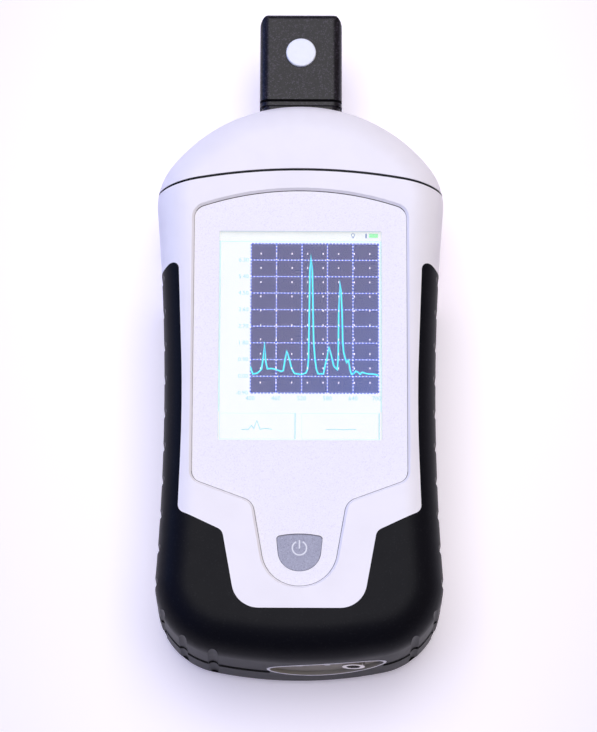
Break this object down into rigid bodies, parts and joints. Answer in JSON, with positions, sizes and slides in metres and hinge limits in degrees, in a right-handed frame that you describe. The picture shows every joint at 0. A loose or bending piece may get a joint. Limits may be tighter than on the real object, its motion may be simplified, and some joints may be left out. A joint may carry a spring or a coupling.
{
  "type": "handheld spectrometer",
  "caption": "Handheld spectrometer: palm-sized case with rubber grips, portrait touch display, power key and a light-collecting head with a white diffuser.",
  "frame": {"origin": "middle of the whole length and width, on the flat back that the spectrometer lies on", "axes": "+Y towards the light-collecting head, +X to the right seen from the front, +Z out of the display"},
  "size_m": [0.0768, 0.18, 0.038],
  "materials": {
    "white_shell": "moulded plastic, fine satin grain, warm white",
    "white_overlay": "printed film with a fine sparkle grain",
    "grip_rubber": "soft moulded rubber, satin black",
    "seal_rubber": "black rubber seal",
    "key_film": "speckled grey print with a pale power symbol",
    "touch_glass": "clear touch panel",
    "display": "lit colour display",
    "frame_plastic": "white moulded light frame",
    "sheet_steel": "stamped sheet steel",
    "spring_steel": "bright spring steel",
    "screw_steel": "zinc plated steel",
    "circuit_board": "green solder mask",
    "chip_plastic": "black moulded components",
    "flex_film": "amber flexible circuit",
    "cell_wrap": "shrink wrapped steel can",
    "cradle_plastic": "black moulded plastic",
    "wire": "insulated stranded wire",
    "port_panel": "warm grey panel",
    "nickel": "nickel plated brass",
    "lens_plastic": "smoked clear plastic",
    "head_alloy": "fine blasted black anodised",
    "ptfe": "sintered white diffuser",
    "optic_mirror": "front surface mirror",
    "guide_glass": "polished glass rod",
    "bench_alloy": "machined, black anodised",
    "detector_ceramic": "pale ceramic sensor package"
  },
  "bodies": {
    "instrument": {"front_shell": "white_shell", "rear_shell": "white_shell", "front_grip": "grip_rubber", "rear_grip": "grip_rubber", "top_cap": "white_shell", "cap_gasket": "seal_rubber", "case_seal": "seal_rubber", "case_screws": "screw_steel", "cap_screws": "screw_steel", "membrane_overlay": "white_overlay", "touch_panel": "touch_glass", "lcd_panel": "display", "backlight_frame": "frame_plastic", "display_tray": "sheet_steel", "tray_screws": "screw_steel", "display_flex": "flex_film", "snap_dome": "spring_steel", "key_board": "circuit_board", "key_board_screws": "screw_steel", "main_board": "circuit_board", "board_components": "chip_plastic", "board_screws": "screw_steel", "battery_cell": "cell_wrap", "battery_cradle": "cradle_plastic", "battery_leads": "wire", "port_frame": "white_shell", "port_plate": "port_panel", "jack_bush": "nickel", "jack_nut": "nickel", "jack_body": "cradle_plastic", "status_lenses": "lens_plastic", "status_leds": "chip_plastic", "port_board": "circuit_board", "head_block": "head_alloy", "head_collar": "head_alloy", "head_screws": "screw_steel", "collar_screws": "screw_steel", "diffuser": "ptfe", "fold_mirror": "optic_mirror", "light_guide": "guide_glass", "guide_ferrule": "screw_steel", "bench_body": "bench_alloy", "bench_cover": "bench_alloy", "bench_cover_screws": "screw_steel", "bench_mount_screws": "screw_steel", "slit_plate": "spring_steel", "collimating_mirror": "optic_mirror", "grating": "optic_mirror", "focusing_mirror": "optic_mirror", "detector_array": "detector_ceramic", "detector_board": "circuit_board"},
    "power_key": {"power_key": "key_film"}
  },
  "joints": [
    {"name": "power_key_press", "type": "slide", "parent": "instrument", "child": "power_key", "axis": [0, 0, -1], "range_m": [0, 0.00035], "stiffness_N_per_m": 600, "springref_m": -0.0002, "deforming": ["snap_dome"]}
  ]
}
